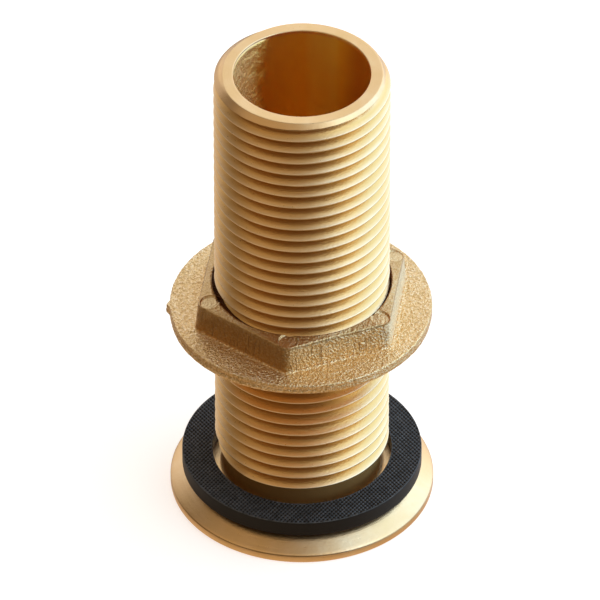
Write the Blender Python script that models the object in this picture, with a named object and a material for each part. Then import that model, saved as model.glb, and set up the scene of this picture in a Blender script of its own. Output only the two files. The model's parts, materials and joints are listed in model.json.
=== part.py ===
"""A 3/4 inch brass thru hull fitting: a threaded tube on a round flange, its flanged hex nut and its gasket.

Metres, +Z up along the tube. The origin is the centre of the flange's outer face, the front is -Y.
"""

import math

import bmesh
import bpy
import numpy as np

# Overall
HEIGHT = 0.0792
SEGMENTS = 24
GAP = 0.0003
EDGE_BREAK = 0.0003
SHARP_ANGLE = math.radians(35)
MERGE_DISTANCE = 1e-6

# Right-hand outside thread with 60 degree flanks and narrow crests
THREAD_CREST_R = 0.013335
THREAD_ROOT_R = 0.01196
THREAD_PITCH = 0.0254 / 12
THREAD_FLAT = THREAD_PITCH / 16
FLANK_SLOPE = math.tan(math.radians(30))
THREAD_LOW_Z = 0.0088
FRONT_CREST_Z = 0.0767
FRONT_ANGLE = -math.pi / 2
SPARE_TURNS = 2

# Tube and flange
BORE_R = 0.01035
BORE_MOUTH = 0.0008
TOP_FACE_R = 0.0122
NECK_R = 0.0119
FLANGE_R = 0.02023
RIM_HEIGHT = 0.00135
SEAT_R = 0.0164
SEAT_Z = 0.0036
CHAMFER_SEGMENTS = 60
CHAMFER_START = 0.02
CHAMFER_PAST = 0.001

# Gasket
GASKET_OUTER_R = 0.0184
GASKET_INNER_R = 0.01375
GASKET_LOW_Z = SEAT_Z + GAP
GASKET_HEIGHT = 0.0025
GASKET_SEGMENTS = 48

# Nut
NUT_LOW_Z = 0.0333
NUT_HEIGHT = 0.0063
NUT_TOP_Z = NUT_LOW_Z + NUT_HEIGHT
DISC_R = 0.0200
DISC_HEIGHT = 0.0015
HEX_BASE_CORNER_R = 0.0174
HEX_TOP_CORNER_R = 0.0169
HEX_FRONT_CORNER = math.radians(-98.2)
HEX_SIDE = math.pi / 3
NUT_THREAD_INNER_R = 0.0125
NUT_THREAD_OUTER_R = 0.0137
NUT_THREAD_PLAY = 0.00027
NUT_MOUTH_R = 0.0139
NUT_MOUTH_DEPTH = 0.0006
PIN_MARK_ON_R = 0.0148
PIN_MARK_R = 0.0015
PIN_MARK_DEPTH = 0.0002
PIN_MARK_PAST = 0.001
PIN_MARK_SEGMENTS = 16

# Looks: color and roughness
BRASS = (0.80, 0.58, 0.30, 1.0)
BRASS_ROUGHNESS = 0.3
CAST_BRASS = (0.72, 0.52, 0.27, 1.0)
CAST_BRASS_ROUGHNESS = 0.45
RUBBER = (0.03, 0.03, 0.032, 1.0)
RUBBER_ROUGHNESS = 0.6


def clear_scene():
    for obj in list(bpy.data.objects):
        bpy.data.objects.remove(obj)


def principled(name, color, roughness, metallic):
    material = bpy.data.materials.new(name)
    material.use_nodes = True
    shader = material.node_tree.nodes["Principled BSDF"]
    shader.inputs["Base Color"].default_value = color
    shader.inputs["Roughness"].default_value = roughness
    shader.inputs["Metallic"].default_value = metallic
    material.diffuse_color = color
    return material


def thread_ridge(angle, inner_r, outer_r, half_inner, half_outer):
    """A column's (r, z) points up a thread that gains one pitch a turn, from under z = 0 to past HEIGHT."""
    front_z = FRONT_CREST_Z + THREAD_PITCH * (angle - FRONT_ANGLE) / (2 * math.pi)
    turns_below = math.ceil(FRONT_CREST_Z / THREAD_PITCH) + SPARE_TURNS
    turns_above = math.ceil((HEIGHT - FRONT_CREST_Z) / THREAD_PITCH) + SPARE_TURNS
    points = []
    for turn in range(-turns_below, turns_above):
        center = front_z + turn * THREAD_PITCH
        points += [
            (inner_r, center - half_inner),
            (outer_r, center - half_outer),
            (outer_r, center + half_outer),
            (inner_r, center + half_inner),
        ]
    return points


def between(points, low, high):
    """A rising line of (r, z) points, with those past an end moved to where the line crosses that end."""
    radii, heights = zip(*points)
    first = (float(np.interp(low, heights, radii)), low)
    last = (float(np.interp(high, heights, radii)), high)
    return [first if z < low else last if z > high else (r, z) for r, z in points]


def add_object(name, bm, material):
    bmesh.ops.recalc_face_normals(bm, faces=bm.faces)
    mesh = bpy.data.meshes.new(name)
    bm.to_mesh(mesh)
    bm.free()
    mesh.materials.append(material)
    mesh.shade_smooth()
    mesh.set_sharp_from_angle(angle=SHARP_ANGLE)
    obj = bpy.data.objects.new(name, mesh)
    bpy.context.scene.collection.objects.link(obj)
    return obj


def round_solid(name, section, segments, material, start=0.0):
    """A closed solid around Z. section(angle) gives each column's closed outline of (r, z) points."""
    bm = bmesh.new()
    columns = []
    for step in range(segments + 1):
        angle = start + 2 * math.pi * step / segments
        x, y = math.cos(angle), math.sin(angle)
        columns.append([bm.verts.new((r * x, r * y, z)) for r, z in section(angle)])
    for left, right in zip(columns, columns[1:]):
        for i in range(len(left)):
            after = (i + 1) % len(left)
            bm.faces.new((left[i], right[i], right[after], left[after]))
    bmesh.ops.remove_doubles(bm, verts=bm.verts, dist=MERGE_DISTANCE)
    return add_object(name, bm, material)


def cut(target, cutter):
    """Cuts target with cutter, which isn't itself part of the object."""
    cutter.hide_render = True
    cutter.display_type = "WIRE"
    modifier = target.modifiers.new(cutter.name, "BOOLEAN")
    modifier.operation = "DIFFERENCE"
    modifier.object = cutter


def body_section(angle):
    ridge = thread_ridge(
        angle,
        THREAD_ROOT_R,
        THREAD_CREST_R,
        THREAD_FLAT / 2 + (THREAD_CREST_R - THREAD_ROOT_R) * FLANK_SLOPE,
        THREAD_FLAT / 2,
    )
    return [
        (BORE_R + BORE_MOUTH, 0),
        (FLANGE_R - EDGE_BREAK, 0),
        (FLANGE_R, EDGE_BREAK),
        (FLANGE_R, RIM_HEIGHT),
        (SEAT_R, SEAT_Z),
        (NECK_R, SEAT_Z),
        (NECK_R, THREAD_LOW_Z),
        *between(ridge, THREAD_LOW_Z, HEIGHT),
        (BORE_R, HEIGHT),
        (BORE_R, BORE_MOUTH),
    ]


def make_body():
    brass = principled("brass", BRASS, BRASS_ROUGHNESS, 1.0)
    body = round_solid("threaded_body", body_section, SEGMENTS, brass)
    # a 45 degree chamfer around the open end
    drop = THREAD_CREST_R - TOP_FACE_R
    outline = [
        (TOP_FACE_R - CHAMFER_PAST, HEIGHT + CHAMFER_PAST),
        (THREAD_CREST_R + CHAMFER_PAST, HEIGHT - drop - CHAMFER_PAST),
        (THREAD_CREST_R + CHAMFER_PAST, HEIGHT + CHAMFER_PAST),
    ]
    cut(body, round_solid("end_chamfer", lambda angle: outline, CHAMFER_SEGMENTS, brass, CHAMFER_START))


def hexagon_r(angle, corner_r):
    """How far the hexagon's outline is from the axis at this angle."""
    from_corner = (angle - HEX_FRONT_CORNER) % HEX_SIDE
    return corner_r * math.cos(HEX_SIDE / 2) / math.cos(from_corner - HEX_SIDE / 2)


def nut_section(angle):
    def half_width(r):
        return THREAD_FLAT / 2 + (THREAD_CREST_R - r) * FLANK_SLOPE + NUT_THREAD_PLAY

    groove = thread_ridge(
        angle,
        NUT_THREAD_INNER_R,
        NUT_THREAD_OUTER_R,
        half_width(NUT_THREAD_INNER_R),
        half_width(NUT_THREAD_OUTER_R),
    )
    inside = between(groove, NUT_LOW_Z + NUT_MOUTH_DEPTH, NUT_TOP_Z - NUT_MOUTH_DEPTH)
    return [
        (NUT_MOUTH_R, NUT_LOW_Z),
        (DISC_R, NUT_LOW_Z),
        (DISC_R, NUT_LOW_Z + DISC_HEIGHT),
        (hexagon_r(angle, HEX_BASE_CORNER_R), NUT_LOW_Z + DISC_HEIGHT),
        (hexagon_r(angle, HEX_TOP_CORNER_R), NUT_TOP_Z),
        (NUT_MOUTH_R, NUT_TOP_Z),
        *reversed(inside),
    ]


def pin_marks(material):
    """Cutters for the six shallow round marks, one in each corner of the nut's top face."""
    bm = bmesh.new()
    for corner in range(6):
        angle = HEX_FRONT_CORNER + corner * HEX_SIDE
        made = bmesh.ops.create_cone(
            bm,
            cap_ends=True,
            segments=PIN_MARK_SEGMENTS,
            radius1=PIN_MARK_R,
            radius2=PIN_MARK_R,
            depth=PIN_MARK_DEPTH + PIN_MARK_PAST,
        )
        x, y = PIN_MARK_ON_R * math.cos(angle), PIN_MARK_ON_R * math.sin(angle)
        z = NUT_TOP_Z + (PIN_MARK_PAST - PIN_MARK_DEPTH) / 2
        bmesh.ops.translate(bm, verts=made["verts"], vec=(x, y, z))
    return add_object("pin_marks", bm, material)


def make_nut():
    brass = principled("cast_brass", CAST_BRASS, CAST_BRASS_ROUGHNESS, 1.0)
    nut = round_solid("flange_nut", nut_section, SEGMENTS, brass, HEX_FRONT_CORNER)
    cut(nut, pin_marks(brass))


def make_gasket():
    high = GASKET_LOW_Z + GASKET_HEIGHT
    outline = [
        (GASKET_INNER_R, GASKET_LOW_Z),
        (GASKET_OUTER_R, GASKET_LOW_Z),
        (GASKET_OUTER_R, high),
        (GASKET_INNER_R, high),
    ]
    rubber = principled("rubber", RUBBER, RUBBER_ROUGHNESS, 0.0)
    round_solid("gasket", lambda angle: outline, GASKET_SEGMENTS, rubber)


clear_scene()
make_body()
make_nut()
make_gasket()
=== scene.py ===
"""The looks of a brass thru hull fitting: a threaded tube, a sand-cast flanged nut and a rubber gasket.

Metres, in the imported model's own frame: +Z up the tube, the origin under the flange, the front at -Y.
"""

import json
import math

import bmesh
import bpy
import numpy as np
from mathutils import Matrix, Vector, noise


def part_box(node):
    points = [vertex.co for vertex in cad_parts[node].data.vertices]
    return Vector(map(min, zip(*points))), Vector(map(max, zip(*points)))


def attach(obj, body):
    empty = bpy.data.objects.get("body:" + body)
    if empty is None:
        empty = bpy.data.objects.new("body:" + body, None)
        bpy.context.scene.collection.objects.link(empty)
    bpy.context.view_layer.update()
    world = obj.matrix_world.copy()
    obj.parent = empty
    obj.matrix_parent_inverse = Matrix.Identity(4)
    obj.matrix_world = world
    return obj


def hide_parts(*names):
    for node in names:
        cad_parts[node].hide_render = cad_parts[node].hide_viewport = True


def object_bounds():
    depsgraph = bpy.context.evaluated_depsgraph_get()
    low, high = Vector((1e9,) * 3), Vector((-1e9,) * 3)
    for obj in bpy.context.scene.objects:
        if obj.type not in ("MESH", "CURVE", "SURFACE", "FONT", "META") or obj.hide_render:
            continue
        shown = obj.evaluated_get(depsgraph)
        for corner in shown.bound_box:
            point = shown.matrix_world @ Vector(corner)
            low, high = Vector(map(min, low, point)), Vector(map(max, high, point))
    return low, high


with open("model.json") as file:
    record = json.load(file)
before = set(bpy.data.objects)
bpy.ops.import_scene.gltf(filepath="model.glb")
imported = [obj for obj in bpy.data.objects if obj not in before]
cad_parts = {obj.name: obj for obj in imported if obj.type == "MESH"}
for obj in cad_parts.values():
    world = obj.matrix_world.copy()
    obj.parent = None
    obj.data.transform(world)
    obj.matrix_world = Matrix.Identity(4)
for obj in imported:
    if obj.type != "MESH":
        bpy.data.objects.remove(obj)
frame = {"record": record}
cad_low, cad_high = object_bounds()

# Camera and studio. A light is its direction, the cosines where it starts and is full, and its color.
CAMERA_ELEVATION = math.radians(39.3)
CAMERA_DISTANCE = 1.8436
CAMERA_LENS = 727
CAMERA_AIM = Vector((-0.0003, 0, 0.0353))
STUDIO_LIGHTS = {
    "dim_room": ((0.0, 0.0, 1.0), (-2.0, -1.0), (0.10, 0.08, 0.065)),
    "floor_glow": ((0.0, 0.0, -1.0), (0.42, 0.63), (0.58, 0.49, 0.40)),
    "front_left": ((-0.61, -0.43, 0.67), (0.72, 0.94), (0.42, 0.36, 0.28)),
    "right": ((0.90, 0.03, 0.42), (0.45, 0.90), (1.04, 1.72, 3.0)),
    "back": ((0.03, 0.79, 0.61), (0.66, 0.98), (0.85, 1.02, 1.3)),
    "back_left_low": ((-0.62, 0.78, 0.09), (0.80, 0.99), (0.66, 0.70, 0.85)),
    "back_right_low": ((0.45, 0.88, -0.12), (0.75, 0.96), (0.66, 0.72, 0.90)),
    "front_right_high": ((0.45, -0.55, 0.70), (0.78, 0.99), (0.56, 0.58, 0.58)),
}
FLOOR_REACH = 4.0
FLOOR_Z = -0.0001
FLOOR_COLOR = (0.80, 0.62, 0.42)
FLOOR_GLOW = 0.65

# Meshes
CORNER_STEPS = 3
SHARP_EDGE = math.radians(50)
MERGE_DISTANCE = 2e-6


def rows_between_corners(*sides):
    """Counts for spread(): so many rows on each side of a softened outline, one for each step of a corner."""
    counts = [sides[0]]
    for side in sides[1:]:
        counts += [1] * CORNER_STEPS + [side]
    return counts


# The frame's sizes
HEIGHT = cad_high.z
FLANGE_R = cad_high.x
NUT_LOW_Z, NUT_HIGH_Z = (corner[2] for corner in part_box("flange_nut"))
GASKET_LOW, GASKET_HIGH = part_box("gasket")
COUPLING = frame["record"]["behaviour"]["couplings"][0]
PITCH = 2 * math.pi * COUPLING["ratio"]
FRONT = -math.pi / 2

# Right-hand thread with 60 degree flanks and narrow crests
CREST_R = 0.013335
ROOT_R = 0.01196
FLAT = PITCH / 16
FLANK_SLOPE = math.tan(math.radians(30))
CREST_ROUND = 0.00003
FRONT_CREST_Z = 0.0767
THREAD_LOW_Z = 0.0088
SPARE_TURNS = 2

# Tube and flange
BODY_COLUMNS = 144
BODY_ROW = 0.0005
BODY_ROUND = 0.00022
BORE_R = 0.01035
BORE_MOUTH = 0.0008
BORE_END = 0.004
BORE_ROW = 0.004
# Turns of the bore's painted highlight, its painted shade and its scars
BORE_HIGHLIGHT_TURN = math.radians(72)
BORE_SHADE_TURN = math.radians(15)
BORE_SCARS_TURN = math.radians(168)
TOP_FACE_R = 0.0122
TOP_ROUND = 0.00018
TOP_ROWS = [8, *[1] * CORNER_STEPS, 6]
CHAMFER_HEIGHT = 0.0014
CHAMFER_ROWS = 36
CHAMFER_BLEND = 0.00008
NECK_R = 0.0121
NECK_FILLET = 0.0003
RIM_HEIGHT = 0.00135
SEAT_R = 0.0164
SEAT_Z = 0.0036

# Nut
NUT_COLUMNS = 640
NUT_ROWS = rows_between_corners(12, 1, 1, 3, 26, 26, 26, 1)
NUT_ROUND = 0.00018
CASTING_OFF_X = -0.00015
DISC_R = 0.01995
DISC_HEIGHT = 0.0015
DISC_WANDER = 0.00007
DISC_WANDER_SCALE = 3.1
DISC_WANDER_SLICE = 0.3
DISC_RAGGED = 0.00005
DISC_RAGGED_SCALE = 17
DISC_RAGGED_SLICE = 4.7
NUB = 0.00055
NUB_TURN = math.radians(181)
NUB_SPREAD = math.radians(1.8)
LIP_HEIGHT = 0.00055
LIP_STEP = 0.00013
LIP_LEAST = 0.00003
LIP_SWELL = 0.00014
LIP_TURN = math.radians(222)
LIP_SPREAD = math.radians(32)
HEX_BASE_CORNER_R = 0.0174
HEX_TOP_CORNER_R = 0.0169
HEX_FRONT_CORNER = math.radians(-98.2)
HEX_ROUND = 0.0009
HEX_FOOT_RISE = 0.0001
HEX_LEAST_COSINE = 0.2
NUT_THREAD_INNER_R = 0.0125
NUT_THREAD_OUTER_R = 0.0137
NUT_THREAD_PLAY = 0.00027
NUT_MOUTH_R = 0.01385
NUT_MOUTH_OFF = 0.00018
NUT_MOUTH_WIDEST = math.radians(198)
NUT_MOUTH_DEPTH = 0.0005
NUT_CROWN = 0.0003
NUT_EDGE_DROP = 0.00025
BASE_BEAD = 0.0002
BASE_BEAD_WIDTH = 0.00016
BASE_BEAD_BREAKS = 9000
FINE_GRAIN = 0.00006
FINE_GRAIN_SCALE = 2600
COARSE_GRAIN = 0.00002
COARSE_GRAIN_SCALE = 900
COARSE_GRAIN_SHIFT = Vector((7, 3, 1))
TOP_GRAIN = 0.45
PIN_MARK_ON_R = 0.0151
PIN_MARK_R = 0.0014
PIN_MARK_DEPTH = 0.00022
PIN_MARK_WALL = 0.00016
PIN_MARK_LIP = 0.00004
PIN_MARK_LIP_WIDTH = 0.00012

# How far from a face or an edge of the nut a point still belongs to it
NEAR_UNDERSIDE = 0.0001
NEAR_MOUTH = 0.00005
NEAR_TOP = 0.00012
NEAR_DISC_TOP = 0.00016
NEAR_DISC_EDGE = 0.0003

# Gasket
GASKET_COLUMNS = 1200
GASKET_ROWS = rows_between_corners(2, 4, 6, 46, 2)
GASKET_ROUND = 0.00012
GASKET_INNER_R = 0.01375
WEAVE_ACROSS = 2 * math.pi / 0.00064
WEAVE_ALONG = 2 * math.pi / 0.00092
WEAVE_MARGIN = 0.0002
WEAVE_LEVEL = 1e-6
WEAVE_DEPTH = 0.00016
WEAVE_PIT_EDGE = 0.05
WEAVE_PIT_SLOPE = 0.9


# Outlines and meshes

def clamp(t):
    return min(max(t, 0.0), 1.0)


def smooth(t):
    """0 up to t = 0 and 1 from t = 1, smooth between."""
    t = clamp(t)
    return t * t * (3 - 2 * t)


def bell(distance, width):
    """1 where the distance is 0, fading away on both sides of it."""
    return math.exp(-((distance / width) ** 2))


def soften(points, reach):
    """An open line with each inner corner rounded over this reach, or over a third of its shorter side."""
    out = [points[0]]
    for before, corner, after in zip(points, points[1:], points[2:]):
        a, b, c = (np.array(p, float) for p in (before, corner, after))
        back, on = a - b, c - b
        sides = np.linalg.norm(back), np.linalg.norm(on)
        near = min(reach, *(side / 3 for side in sides))
        start, end = b + back / sides[0] * near, b + on / sides[1] * near
        for i in range(CORNER_STEPS + 1):
            t = i / CORNER_STEPS
            out.append(tuple((1 - t) ** 2 * start + 2 * t * (1 - t) * b + t * t * end))
    out.append(points[-1])
    return out


def divided(points, step):
    """The same line with its long sides divided into equal lengths of at most step."""
    out = [points[0]]
    for a, b in zip(points, points[1:]):
        count = max(1, math.ceil(math.dist(a, b) / step))
        for i in range(1, count + 1):
            t = i / count
            out.append((a[0] + (b[0] - a[0]) * t, a[1] + (b[1] - a[1]) * t))
    return out


def spread(points, counts):
    """The same line with each side divided into its own count of equal lengths."""
    out = []
    for (a, b), count in zip(zip(points, points[1:]), counts, strict=True):
        for i in range(count):
            t = i / count
            out.append((a[0] + (b[0] - a[0]) * t, a[1] + (b[1] - a[1]) * t))
    return [*out, points[-1]]


def ridge_line(angle, inner_r, outer_r, half_inner, half_outer, round_reach):
    """(heights, radii) up one column of a thread whose ridge rises one pitch a turn.

    The ridge is half_inner wide on each side at its inner radius and half_outer at its outer one.
    """
    turn = [
        (-PITCH / 2, inner_r),
        (-half_inner, inner_r),
        (-half_outer, outer_r),
        (half_outer, outer_r),
        (half_inner, inner_r),
        (PITCH / 2, inner_r),
    ]
    rounded = (soften(turn, round_reach) if round_reach else turn)[1:-1]
    rise = PITCH * (angle - FRONT) / (2 * math.pi)
    lowest = FRONT_CREST_Z + rise - PITCH * math.ceil(FRONT_CREST_Z / PITCH + SPARE_TURNS)
    turns = math.ceil(HEIGHT / PITCH) + 2 * SPARE_TURNS + 1
    line = np.array([(z + lowest + i * PITCH, r) for i in range(turns) for z, r in rounded])
    return line[:, 0], line[:, 1]


def between(heights, radii, low, high):
    """The (r, z) points of a rising line, with those past an end moved to where it crosses that end."""
    z = np.clip(heights, low, high)
    r = np.interp(z, heights, radii)
    return list(zip(r.tolist(), z.tolist()))


def lathe(name, section, columns, start=0.0):
    """A closed mesh around Z. section(angle) gives each column's closed outline of (r, z) points."""
    angles = start + 2 * math.pi * np.arange(columns + 1) / columns
    outlines = np.array([section(angle) for angle in angles])
    radii, heights = outlines[..., 0], outlines[..., 1]
    count = outlines.shape[1]
    points = np.stack(
        (radii * np.cos(angles)[:, None], radii * np.sin(angles)[:, None], heights), axis=-1
    ).reshape(-1, 3)
    left = (np.arange(columns)[:, None] * count + np.arange(count)[None, :]).ravel()
    after = (np.arange(columns)[:, None] * count + (np.arange(count)[None, :] + 1) % count).ravel()
    faces = np.stack((left, left + count, after + count, after), axis=-1)
    mesh = bpy.data.meshes.new(name)
    mesh.from_pydata(points, [], faces)
    bm = bmesh.new()
    bm.from_mesh(mesh)
    bmesh.ops.remove_doubles(bm, verts=bm.verts, dist=MERGE_DISTANCE)
    bmesh.ops.recalc_face_normals(bm, faces=bm.faces)
    bm.to_mesh(mesh)
    bm.free()
    mesh.shade_smooth()
    mesh.set_sharp_from_angle(angle=SHARP_EDGE)
    obj = bpy.data.objects.new(name, mesh)
    bpy.context.scene.collection.objects.link(obj)
    return obj


def smooth_min(a, b, reach):
    """The smaller of a and b, with their crossing rounded over reach."""
    h = np.clip(0.5 + 0.5 * (b - a) / reach, 0, 1)
    return b * (1 - h) + a * h - reach * h * (1 - h)


# Threaded body

def body_section(angle):
    half_root = FLAT / 2 + (CREST_R - ROOT_R) * FLANK_SLOPE
    thread = ridge_line(angle, ROOT_R, CREST_R, half_root, FLAT / 2, CREST_ROUND)
    chamfer_low = HEIGHT - CHAMFER_HEIGHT
    below = soften(
        [
            (BORE_R, BORE_END),
            (BORE_R, BORE_MOUTH),
            (BORE_R + BORE_MOUTH, 0),
            (FLANGE_R, 0),
            (FLANGE_R, RIM_HEIGHT),
            (SEAT_R, SEAT_Z),
            (NECK_R + NECK_FILLET, SEAT_Z),
            (NECK_R, SEAT_Z + NECK_FILLET),
            (NECK_R, THREAD_LOW_Z),
            (CREST_R, THREAD_LOW_Z),
        ],
        BODY_ROUND,
    )
    top_z = np.linspace(chamfer_low, HEIGHT, CHAMFER_ROWS)
    thread_r = np.interp(top_z, *thread)
    chamfer_r = TOP_FACE_R + (HEIGHT - top_z)
    top_r = smooth_min(thread_r, chamfer_r, CHAMFER_BLEND)
    edge_r = float(top_r[-1])
    inside = soften([(edge_r, HEIGHT), (BORE_R, HEIGHT), (BORE_R, HEIGHT - BORE_END)], TOP_ROUND)
    bore_end = BORE_END + BODY_ROW
    return [
        *divided(below[:-1], BODY_ROW),
        *between(*thread, THREAD_LOW_Z, chamfer_low),
        *zip(top_r[1:].tolist(), top_z[1:].tolist()),
        *spread(inside, TOP_ROWS)[1:],
        *divided([(BORE_R, HEIGHT - bore_end), (BORE_R, bore_end)], BORE_ROW),
    ]


# Flanged nut

def hexagon_r(angle, corner_r):
    """How far a hexagon's outline is from the axis at this angle, with its corners rounded.

    Sides turned away from the angle count as far off, by the least cosine.
    """
    apothem = corner_r * math.cos(math.pi / 6)
    sides = [
        apothem / max(math.cos(angle - HEX_FRONT_CORNER - (i + 0.5) * math.pi / 3), HEX_LEAST_COSINE)
        for i in range(6)
    ]
    nearest, next_nearest = sorted(sides)[:2]
    return float(smooth_min(nearest, next_nearest, HEX_ROUND))


def grain(x, y, z):
    """Sand-cast skin: how far it stands out at this point."""
    point = Vector((x, y, z))
    fine = noise.noise(point * FINE_GRAIN_SCALE)
    coarse = noise.noise(point * COARSE_GRAIN_SCALE + COARSE_GRAIN_SHIFT)
    return FINE_GRAIN * fine + COARSE_GRAIN * coarse


def swelling(angle, middle, spread_angle):
    """1 at the middle angle of a swelling, fading away on both sides of it."""
    return bell((angle - middle + math.pi) % (2 * math.pi) - math.pi, spread_angle)


def disc_edge(angle):
    """The cast disc's ragged outline, with a nub of flash on its left."""
    x, y = math.cos(angle), math.sin(angle)
    wander = noise.noise(Vector((x, y, DISC_WANDER_SLICE)) * DISC_WANDER_SCALE)
    ragged = noise.noise(Vector((x, y, DISC_RAGGED_SLICE)) * DISC_RAGGED_SCALE)
    nub = NUB * swelling(angle, NUB_TURN, NUB_SPREAD)
    return DISC_R + DISC_WANDER * wander + DISC_RAGGED * ragged + nub


def flash_lip(angle):
    """How far the disc's lower edge stands past its upper one, most of it on the front left."""
    return LIP_LEAST + LIP_SWELL * swelling(angle, LIP_TURN, LIP_SPREAD)


def pin_mark(x, y):
    """How far the nut's top face stands here: six ejector pins left shallow round marks by its corners."""
    rise = 0.0
    for corner in range(6):
        angle = HEX_FRONT_CORNER + corner * math.pi / 3
        off = math.dist((x, y), (PIN_MARK_ON_R * math.cos(angle), PIN_MARK_ON_R * math.sin(angle)))
        lip = bell(off - PIN_MARK_R - PIN_MARK_WALL, PIN_MARK_LIP_WIDTH)
        rise += PIN_MARK_LIP * lip - PIN_MARK_DEPTH * smooth((PIN_MARK_R - off) / PIN_MARK_WALL + 0.5)
    return rise


def nut_thread(angle):
    """(heights, radii) up one column of the nut's inside thread, which clears the tube's by the play."""
    inner, outer = (
        FLAT / 2 + (CREST_R - r) * FLANK_SLOPE + NUT_THREAD_PLAY
        for r in (NUT_THREAD_INNER_R, NUT_THREAD_OUTER_R)
    )
    return ridge_line(angle, NUT_THREAD_INNER_R, NUT_THREAD_OUTER_R, inner, outer, 0.0)


def nut_section(angle):
    x, y = math.cos(angle), math.sin(angle)
    low, high = NUT_LOW_Z, NUT_HIGH_Z - NUT_EDGE_DROP
    disc_top = low + DISC_HEIGHT
    inside = between(*nut_thread(angle), low + NUT_MOUTH_DEPTH, high - NUT_MOUTH_DEPTH)
    off = CASTING_OFF_X * x
    edge = disc_edge(angle) + off
    lip = edge + flash_lip(angle)
    base = hexagon_r(angle, HEX_BASE_CORNER_R) + off
    crown = hexagon_r(angle, HEX_TOP_CORNER_R) + off
    mouth = NUT_MOUTH_R + NUT_MOUTH_OFF * math.cos(angle - NUT_MOUTH_WIDEST)
    outline = soften(
        [
            (mouth, low),
            (lip, low),
            (lip, low + LIP_HEIGHT),
            (edge, low + LIP_HEIGHT + LIP_STEP),
            (edge, disc_top),
            (base, disc_top + HEX_FOOT_RISE),
            (crown, high),
            (mouth, high),
            (inside[-1][0], high - NUT_MOUTH_DEPTH),
        ],
        NUT_ROUND,
    )
    cast = []
    for r, z in spread(outline, NUT_ROWS):
        if z > low + NEAR_UNDERSIDE and r > mouth + NEAR_MOUTH:
            out = grain(r * x, r * y, z)
            if z > high - NEAR_TOP:
                z += TOP_GRAIN * out
            elif abs(z - disc_top) < NEAR_DISC_TOP and r < edge - NEAR_DISC_EDGE:
                z += out + BASE_BEAD * bell(r - base, BASE_BEAD_WIDTH) * (0.5 + BASE_BEAD_BREAKS * out)
            else:
                r += out
        if z > high - NUT_CROWN:
            z += pin_mark(r * x, r * y) + NUT_CROWN * clamp((crown - r) / (crown - mouth))
        cast.append((r, z))
    return [*cast, *reversed(inside)]


# Gasket

def weave_height(x, y):
    """The embossed cloth pattern on the gasket's top: rows of small pits on a diamond lattice."""
    u = x * WEAVE_ACROSS + y * WEAVE_ALONG
    v = x * WEAVE_ACROSS - y * WEAVE_ALONG
    return -WEAVE_DEPTH * smooth(0.5 + WEAVE_PIT_SLOPE * (math.cos(u) + math.cos(v) - WEAVE_PIT_EDGE))


def gasket_section(angle):
    x, y = math.cos(angle), math.sin(angle)
    low, high, outer = GASKET_LOW[2], GASKET_HIGH[2], GASKET_HIGH[0]
    outline = soften(
        [
            (GASKET_INNER_R, (low + high) / 2),
            (GASKET_INNER_R, low),
            (outer, low),
            (outer, high),
            (GASKET_INNER_R, high),
            (GASKET_INNER_R, (low + high) / 2),
        ],
        GASKET_ROUND,
    )
    section = []
    for r, z in spread(outline, GASKET_ROWS):
        if z > high - WEAVE_LEVEL and GASKET_INNER_R + WEAVE_MARGIN < r < outer - WEAVE_MARGIN:
            z += weave_height(r * x, r * y)
        section.append((r, z))
    return section


# Materials

# Where a mix node has its factor, its two colors and their blend
MIX_INPUTS = (0, 6, 7)
MIX_OUTPUT = 2


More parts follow.
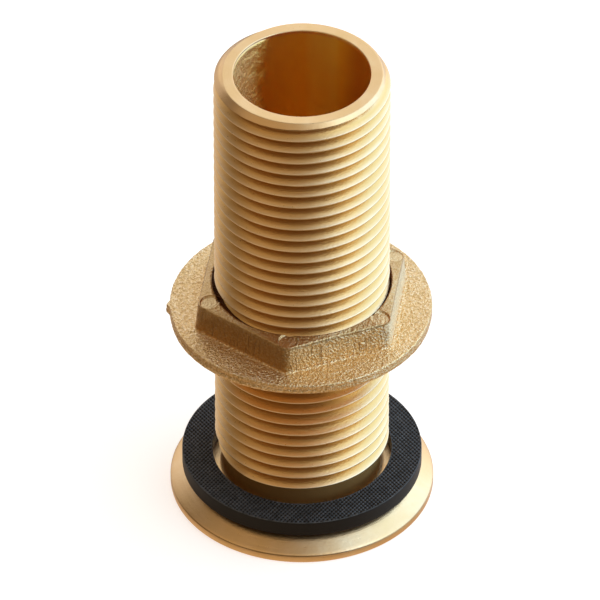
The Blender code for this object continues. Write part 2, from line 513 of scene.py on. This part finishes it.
class Nodes:
    """A short way to write a material's node tree."""

    def __init__(self, name, **settings):
        self.material = bpy.data.materials.new(name)
        self.material.use_nodes = True
        self.tree = self.material.node_tree
        self.shader = self.tree.nodes["Principled BSDF"]
        for socket, value in settings.items():
            self.shader.inputs[socket.replace("_", " ")].default_value = value

    def add(self, kind, inputs=None, **settings):
        node = self.tree.nodes.new(kind)
        for key, value in settings.items():
            setattr(node, key, value)
        for key, value in (inputs or {}).items():
            if isinstance(value, bpy.types.NodeSocket):
                self.tree.links.new(value, node.inputs[key])
            else:
                node.inputs[key].default_value = value
        return node

    def to_shader(self, socket, output):
        self.tree.links.new(output, self.shader.inputs[socket])

    def position(self):
        return self.add("ShaderNodeTexCoord").outputs["Object"]

    def noise(self, scale, detail=3.0, roughness=0.5, vector=None):
        return self.add(
            "ShaderNodeTexNoise",
            {
                "Vector": vector or self.position(),
                "Scale": scale,
                "Detail": detail,
                "Roughness": roughness,
            },
        ).outputs["Fac"]

    def math(self, operation, a, b=0.0):
        return self.add("ShaderNodeMath", {0: a, 1: b}, operation=operation).outputs[0]

    def plus(self, a, b):
        return self.math("ADD", a, b)

    def minus(self, a, b):
        return self.math("SUBTRACT", a, b)

    def times(self, a, b):
        return self.math("MULTIPLY", a, b)

    def length(self, x, y):
        return self.math("SQRT", self.plus(self.times(x, x), self.times(y, y)))

    def facing(self, turn, angle):
        """1 where the surface is turned to this angle around the axis, falling to -1 on the far side."""
        return self.math("COSINE", self.minus(turn, angle))

    def ramp(self, value, stops):
        node = self.add("ShaderNodeValToRGB", {"Fac": value})
        elements = node.color_ramp.elements
        while len(elements) < len(stops):
            elements.new(0.5)
        for element, (place, color) in zip(elements, stops):
            element.position = place
            element.color = (*color, 1.0)
        return node.outputs["Color"]

    def scaled(self, value, low, high):
        return self.add(
            "ShaderNodeMapRange", {"Value": value, "To Min": low, "To Max": high}
        ).outputs["Result"]

    def bump(self, height, distance, strength=1.0, normal=None):
        inputs = {"Height": height, "Distance": distance, "Strength": strength}
        if normal:
            inputs["Normal"] = normal
        return self.add("ShaderNodeBump", inputs).outputs["Normal"]

    def mix(self, factor, a, b):
        node = self.add("ShaderNodeMix", data_type="RGBA")
        for index, value in zip(MIX_INPUTS, (factor, a, b)):
            if isinstance(value, bpy.types.NodeSocket):
                self.tree.links.new(value, node.inputs[index])
            else:
                node.inputs[index].default_value = (*value, 1.0)
        return node.outputs[MIX_OUTPUT]

    def step(self, value, low, high):
        """0 below low, 1 above high, smooth between; or the other way round where high is below low."""
        return self.add(
            "ShaderNodeMapRange",
            {"Value": value, "From Min": low, "From Max": high},
            interpolation_type="SMOOTHSTEP",
        ).outputs["Result"]

    def cylindrical(self):
        """The radius, turn and height sockets of the point on the surface."""
        split = self.add("ShaderNodeSeparateXYZ", {"Vector": self.position()})
        x, y, z = (split.outputs[axis] for axis in "XYZ")
        return self.length(x, y), self.math("ARCTAN2", y, x), z

    def combined(self, x, y, z, scales):
        """A vector of these sockets, each times its scale."""
        parts = {axis: self.times(part, scale) for axis, part, scale in zip("XYZ", (x, y, z), scales)}
        return self.add("ShaderNodeCombineXYZ", parts).outputs["Vector"]


def machined_brass():
    """Turned brass: rings of fine tool marks, dark thread grooves of painted shade, bright crests of painted
    highlight, and an amber bore painted brighter and deeper for its inter-reflections.
    """
    n = Nodes("machined_brass_look", Metallic=1.0, Anisotropic=0.4)
    radius, turn, z = n.cylindrical()
    rings = n.noise(1.0, 4.0, 0.6, n.combined(radius, turn, z, (9000, 2.0, 9000)))
    broad = n.noise(1.0, 2.0, 0.5, n.combined(radius, turn, z, (1200, 1.2, 1200)))
    specks = n.noise(2600, 2.0, 0.5)
    patches = n.noise(140, 4.0, 0.6)
    bare = n.ramp(
        patches,
        [(0.30, (0.83, 0.49, 0.18)), (0.52, (0.88, 0.53, 0.22)), (0.72, (0.92, 0.60, 0.28))],
    )

    on_thread = n.times(
        n.step(z, SEAT_Z + 0.0001, SEAT_Z + 0.0004),
        n.step(z, HEIGHT - 0.0012, HEIGHT - 0.0018),
    )
    # Painted shade: the thread's grooves get a darker, deeper orange that stands in for their shade and
    # inter-reflections.
    groove = n.times(on_thread, n.step(radius, CREST_R - 0.0001, CREST_R - 0.0007))
    # Painted highlight: the crests get a lighter colour that stands in for the light they catch.
    crest_painted_highlight = n.times(on_thread, n.step(radius, CREST_R - 0.00016, CREST_R - 0.00002))
    color = n.mix(groove, bare, (0.82, 0.45, 0.13))
    color = n.mix(crest_painted_highlight, color, (0.96, 0.66, 0.33))

    in_bore = n.times(
        n.step(radius, BORE_R + 0.0003, BORE_R + 0.0001),
        n.step(z, HEIGHT - 0.0002, HEIGHT - 0.0008),
    )
    # Painted highlight: a narrow lighter stripe down the bore at this turn.
    bore_painted_highlight = n.step(n.facing(turn, BORE_HIGHLIGHT_TURN), 0.955, 0.995)
    # Painted shade: the bore's side at this turn is darker.
    shade = n.step(n.facing(turn, BORE_SHADE_TURN), 0.70, 0.95)
    # Real casting scars: rougher, bumped skin on the bore's left wall, their colour also painted lighter for
    # the light they catch.
    uneven = n.plus(n.facing(turn, BORE_SCARS_TURN), n.times(n.noise(260, 3.0, 0.6), 0.35))
    scars_with_painted_light = n.times(in_bore, n.step(uneven, 0.82, 1.10))
    # The bore is painted a brighter, deeper amber than the brass, standing in for the light it bounces round
    # inside.
    bore = n.mix(bore_painted_highlight, (1.0, 0.66, 0.10), (1.0, 0.76, 0.18))
    bore = n.mix(shade, bore, (0.74, 0.36, 0.06))
    bore = n.mix(scars_with_painted_light, bore, (1.0, 0.68, 0.26))
    n.to_shader("Base Color", n.mix(in_bore, color, bore))

    neck = n.times(
        n.step(z, THREAD_LOW_Z + 0.0002, THREAD_LOW_Z - 0.0003),
        n.step(radius, NECK_R + 0.0006, NECK_R + 0.0004),
    )
    roughness = n.scaled(n.plus(rings, specks), 0.15, 0.33)
    for area, more in ((in_bore, 0.12), (scars_with_painted_light, 0.25), (neck, 0.30)):
        roughness = n.plus(roughness, n.times(area, more))
    n.to_shader("Roughness", roughness)

    scars = n.times(scars_with_painted_light, n.noise(1.0, 4.0, 0.65, n.combined(radius, turn, z, (900, 12, 1100))))
    normal = n.bump(specks, 0.00003, 0.6)
    normal = n.bump(broad, 0.00006, 0.3, normal)
    normal = n.bump(rings, 0.00004, 0.35, normal)
    n.to_shader("Normal", n.bump(scars, 0.0012, 1.0, normal))
    n.to_shader("Tangent", n.add("ShaderNodeTangent", direction_type="RADIAL", axis="Z").outputs[0])
    return n.material


def cast_brass():
    """Sand-cast brass: bright grains, brown between them, cracks on the hexagon's sides, painted shade on its
    left side, its top face and in its mouth, and painted light on its right side.
    """
    n = Nodes("cast_brass_look", Metallic=1.0)
    radius, turn, z = n.cylindrical()
    fine = n.noise(6500, 2.0, 0.6)
    grains = n.noise(3000, 2.0, 0.55)
    patches = n.noise(180, 3.0, 0.5)
    skin = n.ramp(
        n.plus(n.times(grains, 0.85), n.times(patches, 0.15)),
        [(0.35, (0.70, 0.40, 0.13)), (0.50, (0.88, 0.54, 0.21)), (0.65, (1.0, 0.70, 0.36))],
    )

    disc_top = NUT_LOW_Z + DISC_HEIGHT
    on_side = n.times(
        n.step(z, disc_top + 0.0001, disc_top + 0.0006),
        n.step(z, NUT_HIGH_Z - 0.0004, NUT_HIGH_Z - 0.0009),
    )
    lines = n.noise(1.0, 3.0, 0.6, n.combined(radius, turn, z, (900, 26, 260)))
    cracks = n.times(on_side, n.step(lines, 0.54, 0.68))
    # Painted shade: the hexagon's left side is darker.
    left_side = n.step(n.facing(turn, HEX_FRONT_CORNER - math.pi / 6), 0.80, 0.89)
    left_face_painted_shade = n.times(on_side, left_side)
    # Painted light: the hexagon's right side is lighter; it is rougher too.
    right_side = n.step(n.facing(turn, HEX_FRONT_CORNER + math.pi / 2), 0.80, 0.89)
    right_face_rough_painted_light = n.times(on_side, right_side)

    # Painted shade: the nut's top face is darker; its grain is also calmer there.
    on_top = n.step(z, NUT_HIGH_Z - 0.0009, NUT_HIGH_Z - 0.0005)
    # Painted shade: the nut's mouth is near-black.
    mouth_painted_shade = n.step(radius, NUT_MOUTH_R, NUT_MOUTH_R - 0.0002)
    from_side = n.math("FLOORED_MODULO", n.minus(turn, HEX_FRONT_CORNER - math.pi / 6), math.pi / 3)
    from_corner = n.minus(from_side, math.pi / 6)
    from_mark = n.length(
        n.minus(n.times(radius, n.math("COSINE", from_corner)), PIN_MARK_ON_R),
        n.times(radius, n.math("SINE", from_corner)),
    )
    mark = n.times(
        n.step(z, NUT_HIGH_Z - 0.0009, NUT_HIGH_Z - 0.0006),
        n.step(from_mark, PIN_MARK_R + 0.0001, PIN_MARK_R - 0.0001),
    )

    # Tints: cracks and pin marks are the brass's own; the left side, the top face and the mouth get painted
    # shade, the right side painted light.
    for area, share, tint in (
        (cracks, 0.5, (0.50, 0.27, 0.09)),
        (left_face_painted_shade, 0.6, (0.36, 0.18, 0.05)),
        (right_face_rough_painted_light, 0.7, (1.0, 0.78, 0.44)),
        (on_top, 0.6, (0.46, 0.25, 0.08)),
        (mouth_painted_shade, 1.0, (0.16, 0.07, 0.02)),
        (mark, 0.45, (0.96, 0.68, 0.32)),
    ):
        skin = n.mix(n.times(area, share), skin, tint)
    n.to_shader("Base Color", skin)
    n.to_shader("Roughness", n.plus(n.scaled(fine, 0.26, 0.44), n.times(right_face_rough_painted_light, 0.25)))
    height = n.minus(grains, n.times(cracks, 0.5))
    height = n.times(height, n.minus(1.0, n.times(on_top, 0.4)))
    n.to_shader("Normal", n.bump(fine, 0.00003, 0.8, n.bump(height, 0.00026)))
    return n.material


def black_rubber():
    """Moulded black rubber: the pits of its cloth pattern are painted near-black as shade, the mesh between
    them is dusty.
    """
    n = Nodes("black_rubber_look", Metallic=0.0, IOR=1.5)
    n.shader.inputs["Specular Tint"].default_value = (1.0, 0.76, 0.50, 1)
    n.shader.inputs["Specular IOR Level"].default_value = 0.35
    z = n.cylindrical()[2]
    dust = n.noise(900, 4.0, 0.6)
    patches = n.noise(120, 3.0, 0.5)
    raised = n.step(z, GASKET_HIGH[2] - WEAVE_DEPTH, GASKET_HIGH[2] - 0.2 * WEAVE_DEPTH)
    rubber = n.ramp(dust, [(0.35, (0.030, 0.028, 0.022)), (0.7, (0.085, 0.077, 0.062))])
    # Painted shade: the pits are near-black; the raised mesh has the dusty rubber.
    n.to_shader("Base Color", n.mix(raised, (0.002, 0.002, 0.002), rubber))
    n.to_shader("Roughness", n.scaled(patches, 0.40, 0.58))
    n.to_shader("Normal", n.bump(dust, 0.00003, 0.4))
    return n.material


def finish_piece(obj, node, material):
    obj.data.materials.append(material)
    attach(obj, node)
    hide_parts(node)


# Studio

def lobe(tree, direction, name, axis, edges, color):
    """One soft light: its color fades in as a direction turns from edges[0] to edges[1] of this axis."""
    dot = tree.nodes.new("ShaderNodeVectorMath")
    dot.label = name
    dot.operation = "DOT_PRODUCT"
    tree.links.new(direction, dot.inputs[0])
    dot.inputs[1].default_value = Vector(axis).normalized()
    fade = tree.nodes.new("ShaderNodeMapRange")
    fade.interpolation_type = "SMOOTHSTEP"
    tree.links.new(dot.outputs["Value"], fade.inputs["Value"])
    fade.inputs["From Min"].default_value, fade.inputs["From Max"].default_value = edges
    scale = tree.nodes.new("ShaderNodeVectorMath")
    scale.operation = "SCALE"
    scale.inputs[0].default_value = color
    tree.links.new(fade.outputs["Result"], scale.inputs["Scale"])
    return scale.outputs["Vector"]


def studio_world():
    """A dim room with large soft lights, a cool bright one on the right, in front of a white backdrop."""
    world = bpy.data.worlds.new("studio")
    world.use_nodes = True
    tree = world.node_tree
    direction = tree.nodes.new("ShaderNodeTexCoord").outputs["Generated"]
    total = None
    for name, light in STUDIO_LIGHTS.items():
        glow = lobe(tree, direction, name, *light)
        if total is not None:
            add = tree.nodes.new("ShaderNodeVectorMath")
            tree.links.new(total, add.inputs[0])
            tree.links.new(glow, add.inputs[1])
            glow = add.outputs["Vector"]
        total = glow
    lights = tree.nodes["Background"]
    tree.links.new(total, lights.inputs["Color"])
    backdrop = tree.nodes.new("ShaderNodeBackground")
    backdrop.inputs["Color"].default_value = (1, 1, 1, 1)
    seen = tree.nodes.new("ShaderNodeLightPath").outputs["Is Camera Ray"]
    mix = tree.nodes.new("ShaderNodeMixShader")
    tree.links.new(seen, mix.inputs["Fac"])
    tree.links.new(lights.outputs["Background"], mix.inputs[1])
    tree.links.new(backdrop.outputs["Background"], mix.inputs[2])
    tree.links.new(mix.outputs["Shader"], tree.nodes["World Output"].inputs["Surface"])
    bpy.context.scene.world = world


def studio_floor():
    """A plain pale floor that glows a little, so that the fitting's shadow on it stays light."""
    mesh = bpy.data.meshes.new("floor")
    corners = [(-1, -1), (1, -1), (1, 1), (-1, 1)]
    mesh.from_pydata([(x * FLOOR_REACH, y * FLOOR_REACH, FLOOR_Z) for x, y in corners], [], [(0, 1, 2, 3)])
    floor = bpy.data.objects.new("floor", mesh)
    bpy.context.scene.collection.objects.link(floor)
    n = Nodes("floor_look", Roughness=0.9)
    n.shader.inputs["Base Color"].default_value = (*FLOOR_COLOR, 1)
    n.shader.inputs["Emission Color"].default_value = (1, 1, 1, 1)
    n.shader.inputs["Emission Strength"].default_value = FLOOR_GLOW
    mesh.materials.append(n.material)
    floor.visible_glossy = False


def camera():
    """Looks down at the front of the fitting, through a long lens."""
    back = Vector((0, -math.cos(CAMERA_ELEVATION), math.sin(CAMERA_ELEVATION)))
    data = bpy.data.cameras.new("camera")
    data.lens = CAMERA_LENS
    data.clip_start, data.clip_end = 0.01, 20
    cam = bpy.data.objects.new("camera", data)
    cam.location = CAMERA_AIM + back * CAMERA_DISTANCE
    cam.rotation_euler = (-back).to_track_quat("-Z", "Y").to_euler()
    bpy.context.scene.collection.objects.link(cam)
    bpy.context.scene.camera = cam


body = lathe("threaded_body_look", body_section, BODY_COLUMNS)
finish_piece(body, "threaded_body", machined_brass())
nut = lathe("flange_nut_look", nut_section, NUT_COLUMNS, HEX_FRONT_CORNER)
finish_piece(nut, "flange_nut", cast_brass())
gasket = lathe("gasket_look", gasket_section, GASKET_COLUMNS)
finish_piece(gasket, "gasket", black_rubber())
studio_world()
studio_floor()
camera()
# The bore and the thread's grooves reflect themselves many times over
bpy.context.scene.cycles.glossy_bounces = 8
bpy.context.scene.view_settings.view_transform = "Standard"
